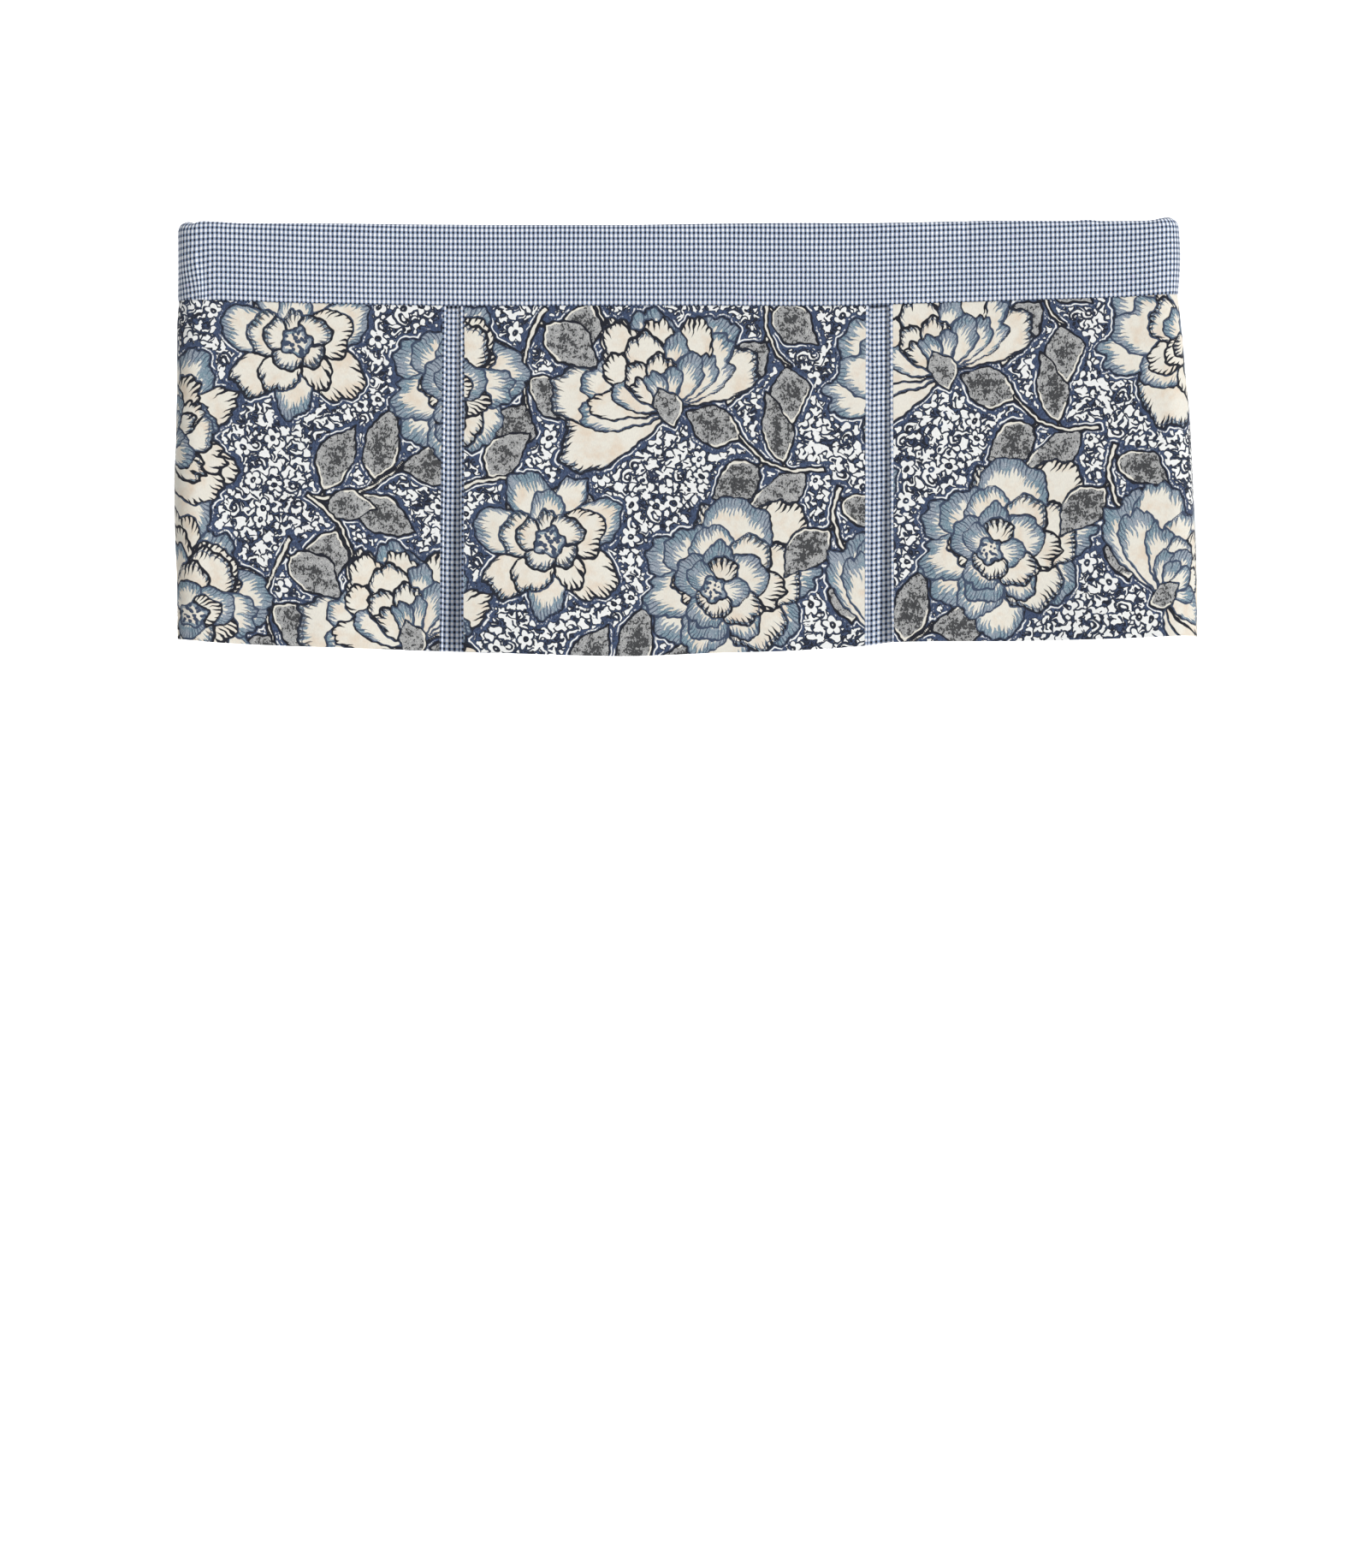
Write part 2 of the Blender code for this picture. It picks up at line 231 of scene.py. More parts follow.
class Thread:
    """An output of a material's nodes. Sums on it add Math nodes."""

    def __init__(self, tree, socket=None):
        self.tree, self.socket = tree, socket

    def node(self, kind, sockets=None, output=0, **settings):
        """Add a shader node: its settings first, then the values or links of its sockets."""
        node = self.tree.nodes.new("ShaderNode" + kind)
        for setting, value in settings.items():
            setattr(node, setting, value)
        for place, value in (sockets or {}).items():
            if isinstance(value, Thread):
                self.tree.links.new(value.socket, node.inputs[place])
            else:
                node.inputs[place].default_value = value
        return Thread(self.tree, node.outputs[output])

    __add__ = __radd__ = sum_of("ADD")
    __mul__ = __rmul__ = sum_of("MULTIPLY")
    __sub__, __truediv__, __abs__ = sum_of("SUBTRACT"), sum_of("DIVIDE"), sum_of("ABSOLUTE")
    least, most, whole, wave = (sum_of(name) for name in ("MINIMUM", "MAXIMUM", "FLOOR", "SINE"))

    def __rsub__(self, other):
        return self.node("Math", {0: other, 1: self}, operation="SUBTRACT")

    def step(self, low, high):
        """0 at low and 1 at high, smooth between and flat outside."""
        return self.node("MapRange", {0: self, 1: low, 2: high}, interpolation_type="SMOOTHSTEP")

    def between(self, low, high):
        """low where this is 0 and high where it is 1, as a colour."""
        return self.node("Mix", {0: self, 6: low, 7: high}, output=2, data_type="RGBA")

    def parts(self):
        return [self.node("SeparateXYZ", {0: self}, output=k) for k in range(3)]

    def spots(self, across, down, size, detail=2.0, seed=0.0):
        """Soft uneven patches around 0, about 1 high, of a size in mm across and down."""
        place = self.node("CombineXYZ", {0: across / size[0], 1: down / size[1], 2: seed})
        noise = self.node("TexNoise", {"Vector": place, "Scale": 1.0, "Detail": detail})
        return (noise - 0.5) * 4

    def cells(self, across, down, size):
        """How far a place lies from the border of uneven cells of about that size, all in mm."""
        place = self.node("CombineXYZ", {0: across / size, 1: down / size})
        return self.node("TexVoronoi", {"Vector": place, "Scale": 1.0},
                         feature="DISTANCE_TO_EDGE", voronoi_dimensions="2D") * size


def dye(red, green, blue):
    """A cloth's colour, as it looks on a screen, as a shader colour."""
    return tuple((c / 255 / 12.92 if c <= 10 else ((c / 255 + 0.055) / 1.055) ** 2.4)
                 for c in (red, green, blue)) + (1.0,)


def new_cloth(name):
    """A cloth's material, its shader, and the cloth's own places across and down in mm."""
    material = bpy.data.materials.new(name)
    material.use_nodes = True
    shader = material.node_tree.nodes["Principled BSDF"]
    shader.inputs["Sheen Weight"].default_value = 0.06
    shader.inputs["Sheen Roughness"].default_value = 0.6
    shader.inputs["Specular IOR Level"].default_value = 0.25
    thread = Thread(material.node_tree)
    across, down, _ = thread.node("UVMap", uv_map="cloth").parts()
    return material, shader, thread, across * 1000, down * 1000


def weave(across, down, pitch):
    """Which yarn of a plain weave is on top, from -1 to 1, where two yarns take up pitch mm."""
    return (across * (2 * math.pi / pitch)).wave() * (down * (2 * math.pi / pitch)).wave()


def finish_cloth(shader, thread, colour, shade, relief, roughness, height):
    """Join a cloth's colour times its shade, its relief and its roughness to its shader."""
    shaded = thread.node("Mix", {0: 1.0, 6: colour, 7: shade}, output=2, data_type="RGBA",
                         blend_type="MULTIPLY")
    bump = thread.node("Bump", {"Height": relief, "Distance": height, "Strength": 1.0},
                       output="Normal")
    for place, value in (("Base Color", shaded), ("Roughness", roughness), ("Normal", bump)):
        thread.tree.links.new(value.socket, shader.inputs[place])


CHECK_WHITE = dye(254, 254, 255)
CHECK_UPRIGHT = (dye(107, 124, 153), dye(141, 157, 185))
CHECK_LEVEL = (dye(148, 165, 193), dye(180, 197, 224))
CHECK_DARK = dye(24, 25, 38)
CHECK_WHITE_SHARE = (0.53, 0.54)   # share of a repeat that is white, across and down
CHECK_SOFT = 0.62                  # mm over which a stripe's edge fades
CHECK_TINTS = (dye(226, 246, 250), dye(244, 234, 250))   # what its white leans to in patches
CHECK_YARNS = 0.65                 # mm that two yarns take up
CHECK_RELIEF = 0.00012             # how far they stand out, in metres


def make_check_cloth():
    """Woven check: stripes of dark yarn both ways, darkest where they cross."""
    material, shader, thread, across, down = new_cloth("check_cotton")
    drift = thread.spots(across, down, (60, 60), seed=3.1)
    waver = thread.spots(across, down, (9, 9), seed=1.7)
    stripes = []
    for place, pitch, white in ((across, CHECK_ACROSS, CHECK_WHITE_SHARE[0]),
                                (down, CHECK_DOWN, CHECK_WHITE_SHARE[1])):
        turn = (place + waver * 0.18 + drift * 0.3) / pitch
        off = abs(turn - turn.whole() - 0.5) * pitch
        stripes.append(off.step(white * pitch / 2 - CHECK_SOFT, white * pitch / 2 + CHECK_SOFT))
    fine = thread.spots(across, down, (0.5, 0.8), detail=1.0, seed=5.0)
    tint = thread.spots(across, down, (17, 13), seed=9.0)
    white = tint.step(0.4, 1.4).between(CHECK_WHITE, CHECK_TINTS[0])
    white = tint.step(-0.4, -1.4).between(white, CHECK_TINTS[1])
    upright, level = (fine.step(-1.5, 1.5).between(*pair) for pair in (CHECK_UPRIGHT, CHECK_LEVEL))
    colour = stripes[0].between(stripes[1].between(white, level), upright)
    colour = (stripes[0] * stripes[1]).between(colour, CHECK_DARK)
    shade = drift.step(1.6, -1.6).between(dye(255, 255, 255), dye(236, 238, 242))
    relief = weave(across, down, CHECK_YARNS) * 0.5 + fine * 0.2
    finish_cloth(shader, thread, colour, shade, relief, 0.86 + fine * 0.02, CHECK_RELIEF)
    return material


# how far the check's rows sink where the corners drag the cloth; below the middle of the left
# corner its columns lean too, and a soft crease runs up where they draw together
Drag = namedtuple("Drag", "x sink")
ROW_DRAG = [
    Drag(-0.64, 0.0090),
    Drag(-0.5856, 0.0075),
    Drag(-0.5600, 0.0034),
    Drag(-0.5420, 0.0004),
    Drag(-0.5300, 0.0),
    Drag(0.5000, 0.0),
    Drag(0.5450, -0.0006),
    Drag(0.5856, -0.0026),
    Drag(0.64, -0.0034),
]
COLUMN_LEAN = 0.0056
CREASE_FOOT, CREASE_HEAD = (-0.5480, -0.0870), (-0.5560, -0.0400)
CORNER_BULGE = 0.0030       # how far the slack right corner stands out

# short soft creases that run down from the top, and how far the top rises to the left of each
Crease = namedtuple("Crease", "x depth length rise")
TOP_CREASES = [Crease(0.3360, 0.0030, 0.030, 0.0), Crease(0.4920, 0.0032, 0.014, 0.0014)]
CREASE_WIDTH = 0.0032
RISE_BEFORE, RISE_WIDTH = 0.014, 0.013


def sleeve_section(x):
    """The middle of the header's cloth at one station: out, height, and its run from the seam."""
    rows = list(SLEEVE_UP)
    fold = SLEEVE_UP[-1].out
    for angle in np.linspace(0, math.pi, FOLD_STEPS):
        rows.append(SleeveRow("top", fold * math.cos(angle),
                              fold * math.sin(angle) - POCKET_HALF, 0.0))
    rows += SLEEVE_DOWN
    level = {name: float(read(LINES, "x", name, x)) for name in ("seam", "top")}
    level["top"] += sum(row.rise * math.exp(-((x - row.x + RISE_BEFORE) / RISE_WIDTH) ** 2)
                        for row in TOP_CREASES)
    free = 1 - float(pleat_bulk(x))
    points = np.array([(row.out + row.snug * free, level[row.line] + row.rise) for row in rows])
    return evenly(points, SECTION_CELLS + 1)


def header_relief(x, z, out):
    """How far the header's face stands out: puckers, slack cloth and soft creases."""
    rise = z - read(LINES, "x", "seam", x)
    front = ease(out, -0.004, 0.006)
    pucker = 0.00032 * ripples(x, (0.013, 0.019, 0.031), 4) * np.exp(-np.abs(rise) / 0.011)
    slack = (0.00045 * ripples(x, (0.085, 0.140, 0.230), 7)
             * np.sin(np.clip(rise / 0.09, 0, 1) * math.pi))
    share = (z - CREASE_FOOT[1]) / (CREASE_HEAD[1] - CREASE_FOOT[1])
    crease_x = CREASE_FOOT[0] + share * (CREASE_HEAD[0] - CREASE_FOOT[0])
    held = ease(share, -0.3, 0.1) * (1 - ease(share, 0.8, 1.5))
    crease = -0.0015 * held * np.exp(-((x - crease_x) / 0.0030) ** 2)
    ridge = 0.0012 * held * np.exp(-((x - crease_x + 0.008) / 0.005) ** 2)
    bulge = CORNER_BULGE * ease(x, 0.560, 0.588) * np.sin(np.clip(rise / 0.088, 0, 1) * math.pi)
    below = np.maximum(read(LINES, "x", "top", x) - z, 0)
    folds = -sum(row.depth * np.exp(-((x - row.x) / CREASE_WIDTH) ** 2 - below / row.length)
                 for row in TOP_CREASES)
    return front * (pucker + slack + crease + ridge + bulge + folds)


def make_header(check):
    bend = CORNER - POCKET_HALF
    flat_half = FACE_HALF - CORNER
    quarter = CORNER * math.pi / 2
    half_run = flat_half + quarter + RETURN_RUN
    count = 2 * round(half_run / HEADER_CELL) + 1
    run = np.linspace(-half_run, half_run, count)
    side, far = np.sign(run), np.abs(run)
    turn = np.clip((far - flat_half) / CORNER, 0, math.pi / 2)
    x = side * (np.minimum(far, flat_half) + bend * np.sin(turn))
    y = bend * (1 - np.cos(turn)) + np.maximum(far - flat_half - quarter, 0)
    out_x, out_y = side * np.sin(turn), -np.cos(turn)
    face = np.empty((SECTION_CELLS + 1, count, 3))
    cloth = np.empty((SECTION_CELLS + 1, count, 2))
    for k in range(count):
        section, length = sleeve_section(x[k] + out_x[k] * SEAM_OUT)
        out, z = section[:, 0], section[:, 1]
        face_x = x[k] + out_x[k] * out
        out = out + header_relief(face_x, z, out)
        face[:, k] = np.stack((x[k] + out_x[k] * out, y[k] + out_y[k] * out, z), 1)
        sink = read(ROW_DRAG, "x", "sink", face_x) * (1 - 0.7 * ease(length, 0.030, 0.090))
        lean = COLUMN_LEAN * (1 - ease(face_x, -0.562, -0.549)) * (1 - ease(length, 0.0, 0.052))
        cloth[:, k] = np.stack((run[k] + half_run - lean, length + sink), 1)
    header = closed_sheet("header_cloth", face[::-1], cloth[::-1], coarse=2)
    header.data.materials.append(check)
    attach(header, "root")
    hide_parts("header_band")


check_cloth = make_check_cloth()
make_header(check_cloth)


# ---- The panels. Three pieces of printed cotton hang from the header's seam, the outer two
# round the corners and back along the returns. Their tops run up a little inside the header,
# and their lower edges are turned up twice at the back and hemmed.
PANEL_CELL = 0.0015         # mesh of a panel's face
PANEL_COARSE = 3            # face cells to one cell of the back
PANEL_DROP = 0.400          # about how far a panel hangs from the seam
PANEL_HEIGHT = 0.405        # about its whole height, with the top inside the header
ALLOWANCE = 0.0045          # how far a panel's top runs up inside the header
HEM_TURN = 0.024            # height of the turned hem
HEM_EXTRA = 0.0009          # how much thicker it is
WAVE_GROWTH = 1.4           # how late down the drop the waves grow
EDGE_INSIDE = 0.001         # how far the outer panels' sides lie inside the header's ends
CORNER_INSIDE = 0.0018      # how much tighter their corners turn than the header's
CORNER_LOOSE = 0.003        # how much rounder a panel's corner is at the hem
RETURN_END = CORNER - POCKET_HALF + RETURN_RUN

# how far the outer panels stand out past FACE_HALF at a share of their drop, and how far
# their returns splay from square
Edge = namedtuple("Edge", "drop left right left_splay right_splay")
EDGES = [
    Edge(0.00, -0.0006, 0.0000, 0.0, 0.0),
    Edge(0.08, 0.0028, 0.0048, 2.2, 2.0),
    Edge(0.22, 0.0044, 0.0114, 5.0, 4.5),
    Edge(0.38, 0.0058, 0.0170, 6.0, 7.0),
    Edge(0.54, 0.0082, 0.0203, 6.0, 9.0),
    Edge(0.70, 0.0070, 0.0222, 5.0, 10.5),
    Edge(0.84, 0.0044, 0.0242, 3.5, 11.5),
    Edge(1.00, 0.0016, 0.0248, 2.0, 12.0),
]

# soft upright waves in the hanging cloth: where, how wide, and how far forward at the hem
Wave = namedtuple("Wave", "x width forward")
WAVES = [
    Wave(-0.505, 0.045, -0.0030),
    Wave(-0.405, 0.050, 0.0035),
    Wave(-0.325, 0.032, -0.0020),
    Wave(-0.160, 0.060, 0.0030),
    Wave(-0.030, 0.050, -0.0030),
    Wave(0.110, 0.055, 0.0040),
    Wave(0.310, 0.035, 0.0030),
    Wave(0.400, 0.050, -0.0030),
    Wave(0.500, 0.050, 0.0035),
]

Panel = namedtuple("Panel", "name node side cut_across cut_down")
PANELS = [
    Panel("panel_cloth_left", "panel_left", -1, 60, 250),
    Panel("panel_cloth_centre", "panel_centre", 0, 150, 20),
    Panel("panel_cloth_right", "panel_right", 1, 330, 60),
]


def mix(start, end, share):
    return start + (end - start) * share


def front_depth(x, drop):
    """y of the middle of the cloth that hangs in front."""
    total = sum(row.forward * np.exp(-((x - row.x) / row.width) ** 2) for row in WAVES)
    return -SEAM_OUT - total * np.maximum(drop, 0) ** WAVE_GROWTH


def height(x, drop):
    """z on the cloth below the header, where drop goes from 0 at the seam to 1 at the hem."""
    return mix(read(LINES, "x", "seam", x), read(LINES, "x", "hem", x), drop)


def pleat_sides(pleat, drop):
    return (mix(pleat.left_top, pleat.left_hem, drop), mix(pleat.right_top, pleat.right_hem, drop))


def outer_plan(side, inner, drop):
    """Plan points of an outer panel, from its pleat round the corner to its open end."""
    name = "right" if side > 0 else "left"

    def reach(at_drop):
        return FACE_HALF - EDGE_INSIDE + float(read(EDGES, "drop", name, at_drop))

    def radius(at_drop):
        return CORNER - CORNER_INSIDE + CORNER_LOOSE * max(at_drop, 0)

    first, now = side * inner(0.0), side * inner(drop)
    cloth_width = reach(0) - first + RETURN_RUN + radius(0) * (math.pi / 2 - 1)
    turn = math.radians(90 - float(read(EDGES, "drop", name + "_splay", drop)))
    bend = radius(drop)
    run = cloth_width - (reach(drop) - now) + bend * (math.sin(turn) - turn)
    run = min(run / (1 - math.cos(turn)),
              (RETURN_END + SEAM_OUT - bend * (1 - math.cos(turn))) / math.sin(turn))
    corner_x = reach(drop) - bend * math.sin(turn) - run * math.cos(turn)
    flat_x = side * np.linspace(now, corner_x, 60)
    points = np.stack((flat_x, front_depth(flat_x, drop)), 1)
    angles = np.linspace(0, turn, 13)[1:]
    arc = np.stack((side * (corner_x + bend * np.sin(angles)),
                    points[-1, 1] + bend * (1 - np.cos(angles))), 1)
    end = arc[-1] + run * np.array((side * math.cos(turn), math.sin(turn)))
    return np.vstack((points, arc, end[None]))


def panel_plan(panel, drop):
    """Plan points of a panel at one drop, from left to right."""
    left, right = PLEATS
    if panel.side == 0:
        x = np.linspace(pleat_sides(left, drop)[1], pleat_sides(right, drop)[0], 120)
        return np.stack((x, front_depth(x, drop)), 1)
    if panel.side > 0:
        return outer_plan(1, lambda at_drop: pleat_sides(right, at_drop)[1], drop)
    return outer_plan(-1, lambda at_drop: pleat_sides(left, at_drop)[0], drop)[::-1]


def panel_relief(run, down, length, seed):
    """How far a panel's cloth stands out of its smooth shape, in metres."""
    under_header = -0.0004 * (1 - ease(down, -0.001, 0.007))
    near_seam = np.exp(-np.maximum(down, 0) / 0.016)
    puckers = 0.0004 * ripples(run, (0.011, 0.017, 0.029), seed) * near_seam
    slack = 0.0005 * ripples(run + 0.25 * down, (0.055, 0.095, 0.160), seed + 1)
    drift = 0.0003 * ripples(down - 0.4 * run, (0.070, 0.130), seed + 2) * ease(down, 0, 0.05)
    to_hem = length - down
    stitched = -0.00025 * np.exp(-((to_hem - HEM_TURN) / 0.0016) ** 2)
    hem = 0.0002 * (1 - ease(to_hem, HEM_TURN - 0.003, HEM_TURN))
    hem_puckers = 0.00022 * ripples(run, (0.014, 0.022, 0.037), seed + 3) * np.exp(-to_hem / 0.02)
    return (under_header + puckers + slack * ease(down, 0, 0.12) + drift
            + stitched + hem + hem_puckers)


def panel_grid(panel):
    """The middle of a panel's cloth, each point's place on the flat cloth, and its flat size."""
    seam_share = ALLOWANCE / PANEL_DROP
    rows = PANEL_COARSE * round(PANEL_HEIGHT / PANEL_CELL / PANEL_COARSE) + 1
    width = evenly(panel_plan(panel, 0.0), 2)[1][-1]
    cols = PANEL_COARSE * round(width / PANEL_CELL / PANEL_COARSE) + 1
    drops = np.linspace(-seam_share, 1, rows)
    base = np.empty((rows, cols, 3))
    for i, drop in enumerate(drops):
        plan, _ = evenly(panel_plan(panel, drop), cols)
        base[i] = np.column_stack((plan, height(np.clip(plan[:, 0], -FACE_HALF, FACE_HALF), drop)))
    length = np.linalg.norm(base[-1] - base[0], axis=1)
    run = np.linspace(0, width, cols)[None, :] + np.zeros((rows, 1))
    down = np.linspace(0, 1, rows)[:, None] * length[None, :] - ALLOWANCE
    relief = panel_relief(run, down, (length - ALLOWANCE)[None, :], 11 + 5 * panel.side)
    cloth = np.stack((run, down + ALLOWANCE), 2)
    return base + facing(base) * relief[..., None], cloth, (width, float(length.max()))


# the print: everything on it is drawn here as shapes on the flat cloth, in mm
FAR = 60.0                  # mm, further than any line, contour or halo reaches
CLEAR = -12.0               # mm, what the ground reads well outside its small shapes
SHAPE_REACH, LINE_REACH = 16, 8   # mm round a shape and round a line that it can change


class Print:
    """What is printed at each point of a piece of cloth. All places and distances are in mm."""

    def __init__(self, across, down):
        self.x, self.y = hand_drawn(across, down)
        count = len(across)
        self.petal, self.leaf, self.stem = np.zeros((3, count))
        self.ink, self.halo = np.full((2, count), FAR)
        self.along, self.rim, self.tone = np.zeros((3, count))
        self.ground = np.full(count, CLEAR)

    def near(self, points, margin):
        """Which points of the cloth lie in the box round some points, or close to it."""
        low, high = np.min(points, 0) - margin, np.max(points, 0) + margin
        return np.flatnonzero((self.x > low[0]) & (self.x < high[0])
                              & (self.y > low[1]) & (self.y < high[1]))

    def lay(self, outline, kind, tone, place):
        """Print one closed shape over what is there; place gives its own along and rim."""
        where = self.near(outline, SHAPE_REACH)
        if not len(where):
            return
        gap = gap_to(outline, self.x[where], self.y[where])
        self.halo[where] = np.minimum(self.halo[where], gap)
        self.ink[where] = np.where(gap < 0, -gap, np.minimum(self.ink[where], gap))
        own = where[gap < 0]
        for name in ("petal", "leaf", "stem"):
            getattr(self, name)[own] = float(name == kind)
        self.along[own], self.rim[own] = place(self.x[own], self.y[own], -gap[gap < 0])
        self.tone[own] = tone

    def line(self, points, width=0.0):
        """An inked stroke through a few points, inside what is there."""
        where = self.near(points, LINE_REACH)
        nearest, _ = along_line(points, self.x[where], self.y[where])
        self.ink[where] = np.minimum(self.ink[where], np.maximum(nearest - width, 0))


def hand_drawn(x, y):
    """The same points on a cloth whose drawing wavers a little, as a hand's does."""
    shift_x = 2.2 * np.sin(x / 17 + 1.3 * np.sin(y / 23)) + 1.0 * np.sin(y / 6.1 + x / 9)
    shift_y = 2.2 * np.sin(y / 19 + 1.4 * np.sin(x / 27)) + 1.0 * np.sin(x / 5.7 - y / 11)
    shake_x = 0.5 * np.sin(y / 1.9 + 2.0 * np.sin(x / 5.3))
    shake_y = 0.5 * np.sin(x / 2.1 + 2.0 * np.sin(y / 4.7))
    return x + shift_x + shake_x, y + shift_y + shake_y


def along_line(points, x, y):
    """Distance of each point x, y from a line of points, and how far along it that is."""
    nearest, run, length = np.full(len(x), 1e9), np.zeros(len(x)), 0.0
    for (ax, ay), (bx, by) in zip(points, points[1:]):
        ex, ey = bx - ax, by - ay
        step = math.hypot(ex, ey) + 1e-9
        share = np.clip(((x - ax) * ex + (y - ay) * ey) / step ** 2, 0, 1)
        away = np.hypot(x - ax - share * ex, y - ay - share * ey)
        run = np.where(away < nearest, length + share * step, run)
        nearest = np.minimum(nearest, away)
        length += step
    return nearest, run


def gap_to(outline, x, y):
    """Distance of each point x, y from a closed outline, minus inside it."""
    closed = np.vstack((outline, outline[:1]))
    nearest, _ = along_line(closed, x, y)
    inside = np.zeros(len(x), bool)
    for (ax, ay), (bx, by) in zip(closed, closed[1:]):
        if ay != by:
            inside ^= ((ay > y) != (by > y)) & (x < ax + (y - ay) / (by - ay) * (bx - ax))
    return np.where(inside, -nearest, nearest)


def bent(points, steps=18):
    """A smooth curve that starts and ends at the ends of a few points and leans to the rest."""
    points, n = np.array(points, float), len(points) - 1
    share = np.linspace(0, 1, steps)[:, None]
    return sum(math.comb(n, k) * share ** k * (1 - share) ** (n - k) * points[k]
               for k in range(n + 1))


def ahead(x, y, aim, far):
    """The point that lies so far from x, y in the direction of an angle."""
    return x + far * math.cos(aim), y + far * math.sin(aim)


def lay_petal(cloth, x, y, aim, reach, spread, dice, fullness=0.34, ruffles=4, tone=None):
    """A petal that opens like a fan from x, y to a ruffled rim."""
    phase, fine_phase = dice.uniform(0, math.pi, 2)
    lean, depth, cleft = dice.uniform(-0.14, 0.14), dice.uniform(0.03, 0.07), dice.uniform(0, 0.11)
    cleft_at = dice.uniform(-0.4, 0.4)

    def rim_at(turn):
        share = np.clip(turn / spread, -1, 1)
        scallop = np.abs(np.sin(ruffles * math.pi / 2 * share + phase)) - 0.6
        frill = np.abs(np.sin(ruffles * 1.35 * math.pi * share + fine_phase)) - 0.6
        cut = cleft * np.exp(-((share - cleft_at) / 0.16) ** 2)
        shape = 1 + depth * scallop + 0.016 * frill + lean * share - cut
        return reach * np.maximum(np.cos(share * math.pi / 2), 0) ** fullness * shape

    turns = spread * np.sin(np.linspace(-math.pi / 2, math.pi / 2, 44))
    radii = rim_at(turns)
    outline = np.stack((x + radii * np.cos(aim + turns), y + radii * np.sin(aim + turns)), 1)
    offset = dice.uniform(0, 400)

    def place(px, py, inside):
        turn = np.angle(np.exp(1j * (np.arctan2(py - y, px - x) - aim)))
        return turn * reach * 0.8 + offset, rim_at(turn) - np.hypot(px - x, py - y)

    cloth.lay(outline, "petal", dice.uniform(0, 1) if tone is None else tone, place)


def lay_ring(cloth, x, y, radius, count, turn, dice, overlap=1.3, **shape):
    """Petals of uneven width round a point, each over the one before it."""
    widths = dice.uniform(0.7, 1.3, count)
    ends = np.cumsum(widths) / widths.sum() * 2 * math.pi
    for width, end in zip(widths / widths.sum(), ends):
        lay_petal(cloth, x, y, turn + end - width * math.pi, radius * dice.uniform(0.86, 1.08),
                  width * math.pi * overlap, dice, **shape)


SEEDS, SEED_SIZE, EYE_TONE = 19, 1.1, 0.46
GOLDEN_ANGLE = 2.39996      # from one seed of a spiral to the next


def lay_eye(cloth, x, y, radius, dice):
    """The round middle of a flower with its seeds in a spiral."""
    turns = np.linspace(0, 2 * math.pi, 29)[:-1]
    radii = radius * (1 + 0.13 * np.sin(5 * turns + dice.uniform(0, 6)))
    outline = np.stack((x + radii * np.cos(turns), y + radii * np.sin(turns)), 1)
    cloth.lay(outline, "petal", EYE_TONE,
              lambda px, py, inside: (np.zeros(len(px)), inside + 9 - 18 * EYE_TONE))
    for k in range(SEEDS):
        out = radius * 0.9 * math.sqrt((k + 0.5) / SEEDS)
        angle = k * GOLDEN_ANGLE + dice.uniform(-0.3, 0.3)
        spot = ahead(x, y, angle, out)
        end = ahead(*spot, angle, dice.uniform(0.3, 2.4))
        cloth.line([spot, end], SEED_SIZE * dice.uniform(0.2, 1))


def lay_leaf(cloth, x, y, aim, length, width, bend, dice):
    """A pointed leaf, pale along one of its sides."""
    share = np.linspace(0, 1, 17)
    spine_x = length * share
    spine_y = bend * length * share * (1 - share) * 2
    half = (width / 2 * np.sin(math.pi * share ** dice.uniform(0.68, 0.88)) ** 1.05
            * (1 + 0.05 * np.sin(share * 15 + aim)))
    local = np.vstack((np.stack((spine_x, spine_y + half), 1),
                       np.stack((spine_x, spine_y - half), 1)[::-1]))

    def turned(points):
        return np.stack((x + points[:, 0] * math.cos(aim) - points[:, 1] * math.sin(aim),
                         y + points[:, 0] * math.sin(aim) + points[:, 1] * math.cos(aim)), 1)

    pale_aim = dice.uniform(0, 2 * math.pi)
    middle = turned(np.array(((length / 2, 0.0),)))[0]

    def place(px, py, inside):
        off = (px - middle[0]) * math.cos(pale_aim) + (py - middle[1]) * math.sin(pale_aim)
        return off / (width / 2) * 10 + 10, inside

    cloth.lay(turned(local), "leaf", dice.uniform(0, 1), place)


def lay_stem(cloth, points, width):
    """A stem along a curve, thinner at its tip."""
    path = bent(points)
    aims = np.gradient(path, axis=0)
    aims /= np.linalg.norm(aims, axis=1)[:, None]
    taper = width / 2 * np.linspace(1.2, 0.7, len(path))[:, None]
    sides = np.stack((-aims[:, 1], aims[:, 0]), 1) * taper
    outline = np.vstack((path + sides, (path - sides)[::-1]))
    cloth.lay(outline, "stem", 0.0,
              lambda px, py, inside: (np.zeros(len(px)), np.zeros(len(px))))


def lay_rosette(cloth, x, y, radius, turn, dice):
    """Seen from the front: rings of broad petals round a seeded eye that sits off the middle."""
    for share, count, ruffles in ((1.0, 7, 5), (0.84, 6, 5), (0.67, 6, 4), (0.50, 5, 4),
                                  (0.34, 4, 3)):
        lay_ring(cloth, *ahead(x, y, turn, (1 - share) * radius * 0.24), radius * share, count,
                 turn + share * 5, dice, ruffles=ruffles)
    lay_eye(cloth, *ahead(x, y, turn, radius * 0.20), radius * 0.14, dice)


